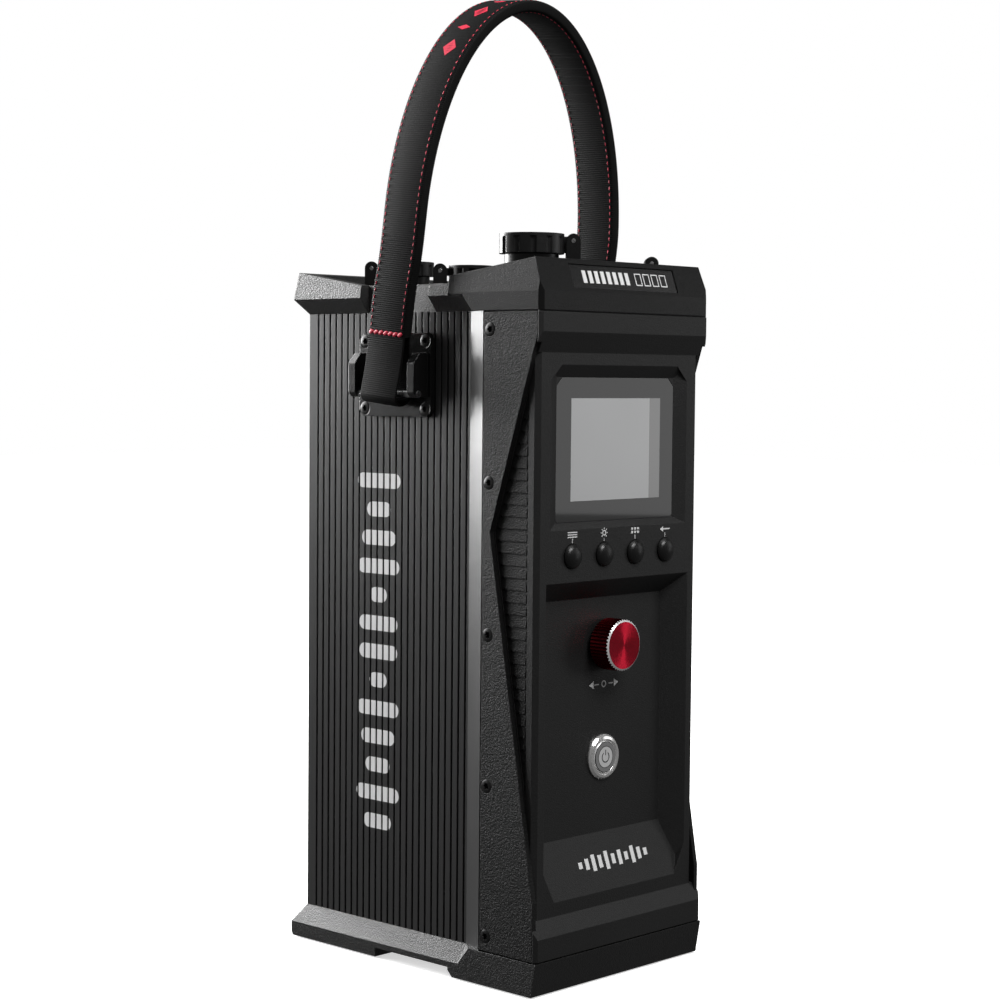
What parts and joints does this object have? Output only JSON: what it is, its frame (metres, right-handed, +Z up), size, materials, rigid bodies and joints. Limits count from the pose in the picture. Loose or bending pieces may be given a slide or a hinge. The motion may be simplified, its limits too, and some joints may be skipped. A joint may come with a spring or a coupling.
{
  "type": "studio light control box",
  "caption": "Tall control box for an LED studio light: ribbed sides, front display, soft keys, select knob, power switch, capped sockets on top and a webbing carrying strap.",
  "frame": {"origin": "middle of the footprint, on the floor under the foot pads", "axes": "+Z up, -Y is the control panel's side, +X to the right as seen from the control panel"},
  "size_m": [0.1462, 0.1706, 0.4757],
  "materials": {
    "moulding": "fine texture",
    "pebbled": "pebbled",
    "trim": "pebbled, satin",
    "ribs": "black anodised",
    "rubber_pad": "matte",
    "black_screw": "black oxide",
    "gloss_black": "gloss",
    "screen_glass": "tinted",
    "panel_steel": "satin",
    "circuit_board": "solder mask",
    "brass_contact": "plain",
    "key_black": "satin",
    "red_anodised": "red anodised, spun face",
    "steel": "satin",
    "stainless": "turned",
    "webbing": "cross-ribbed",
    "socket_metal": "black",
    "insulator": "matte",
    "cap_rubber": "satin",
    "bare_aluminium": "milled",
    "winding": "varnished",
    "sleeve": "sleeve"
  },
  "bodies": {
    "body": {"base_tray": "moulding", "foot_pads": "rubber_pad", "heatsink_left": "ribs", "heatsink_right": "ribs", "rear_panel": "ribs", "rear_screws": "black_screw", "front_housing": "moulding", "cheek_left": "pebbled", "cheek_right": "pebbled", "louvre_left": "moulding", "louvre_right": "moulding", "cheek_screws": "black_screw", "top_frame": "trim", "connector_deck": "moulding", "deck_screws": "black_screw", "front_cap": "moulding", "badge_plate": "gloss_black", "display_glass": "screen_glass", "display_panel": "panel_steel", "control_board": "circuit_board", "tact_switches": "brass_contact", "encoder_body": "steel", "encoder_nut": "steel", "power_bezel": "stainless", "power_nut": "steel", "head_socket": "socket_metal", "head_contacts": "insulator", "mains_socket": "socket_metal", "mains_contacts": "insulator", "data_in_socket": "socket_metal", "data_in_contacts": "insulator", "data_out_socket": "socket_metal", "data_out_contacts": "insulator", "dc_socket": "socket_metal", "dc_contacts": "insulator", "cap_pins": "steel", "strap": "webbing", "anchor_left": "gloss_black", "anchor_right": "gloss_black", "strap_bars": "steel", "anchor_screws": "black_screw", "chassis_plate": "bare_aluminium", "power_board": "circuit_board", "transformer": "winding", "capacitors": "sleeve"},
    "button_1": {"button_1": "key_black"},
    "button_2": {"button_2": "key_black"},
    "button_3": {"button_3": "key_black"},
    "button_4": {"button_4": "key_black"},
    "power_button": {"power_button": "stainless"},
    "encoder_plunger": {"encoder_shaft": "steel"},
    "knob": {"knob": "red_anodised"},
    "head_cap": {"head_cap": "cap_rubber"},
    "mains_cap": {"mains_cap": "cap_rubber"},
    "data_in_cap": {"data_in_cap": "cap_rubber"},
    "data_out_cap": {"data_out_cap": "cap_rubber"},
    "dc_cap": {"dc_cap": "cap_rubber"}
  },
  "joints": [
    {"name": "button_1_press", "type": "slide", "parent": "body", "child": "button_1", "axis": [0, 1, 0], "range_m": [0, 0.0008], "stiffness_N_per_m": 1500, "springref_m": -0.0004},
    {"name": "button_2_press", "type": "slide", "parent": "body", "child": "button_2", "axis": [0, 1, 0], "range_m": [0, 0.0008], "stiffness_N_per_m": 1500, "springref_m": -0.0004},
    {"name": "button_3_press", "type": "slide", "parent": "body", "child": "button_3", "axis": [0, 1, 0], "range_m": [0, 0.0008], "stiffness_N_per_m": 1500, "springref_m": -0.0004},
    {"name": "button_4_press", "type": "slide", "parent": "body", "child": "button_4", "axis": [0, 1, 0], "range_m": [0, 0.0008], "stiffness_N_per_m": 1500, "springref_m": -0.0004},
    {"name": "power_press", "type": "slide", "parent": "body", "child": "power_button", "axis": [0, 1, 0], "range_m": [0, 0.0012], "stiffness_N_per_m": 1500, "springref_m": -0.0006},
    {"name": "knob_press", "type": "slide", "parent": "body", "child": "encoder_plunger", "axis": [0, 1, 0], "range_m": [0, 0.0005], "stiffness_N_per_m": 3000, "springref_m": -0.0005},
    {"name": "knob_turn", "type": "hinge", "parent": "encoder_plunger", "child": "knob", "pos_m": [0, -0.0793, 0.1606], "axis": [0, -1, 0], "continuous": true},
    {"name": "head_cap_hinge", "type": "hinge", "parent": "body", "child": "head_cap", "pos_m": [-0.01607, -0.06393, 0.3533], "axis": [0.7071, 0.7071, 0], "range_deg": [0, 105]},
    {"name": "mains_cap_hinge", "type": "hinge", "parent": "body", "child": "mains_cap", "pos_m": [0.04252, -0.06352, 0.345], "axis": [0.7071, 0.7071, 0], "range_deg": [0, 105]},
    {"name": "data_in_cap_hinge", "type": "hinge", "parent": "body", "child": "data_in_cap", "pos_m": [-0.04075, 0.00075, 0.34], "axis": [-0.7071, -0.7071, 0], "range_deg": [0, 105]},
    {"name": "data_out_cap_hinge", "type": "hinge", "parent": "body", "child": "data_out_cap", "pos_m": [0.04075, 0.00075, 0.34], "axis": [-0.7071, 0.7071, 0], "range_deg": [0, 105]},
    {"name": "dc_cap_hinge", "type": "hinge", "parent": "body", "child": "dc_cap", "pos_m": [-0.04252, 0.04752, 0.3423], "axis": [-0.7071, -0.7071, 0], "range_deg": [0, 105]}
  ]
}
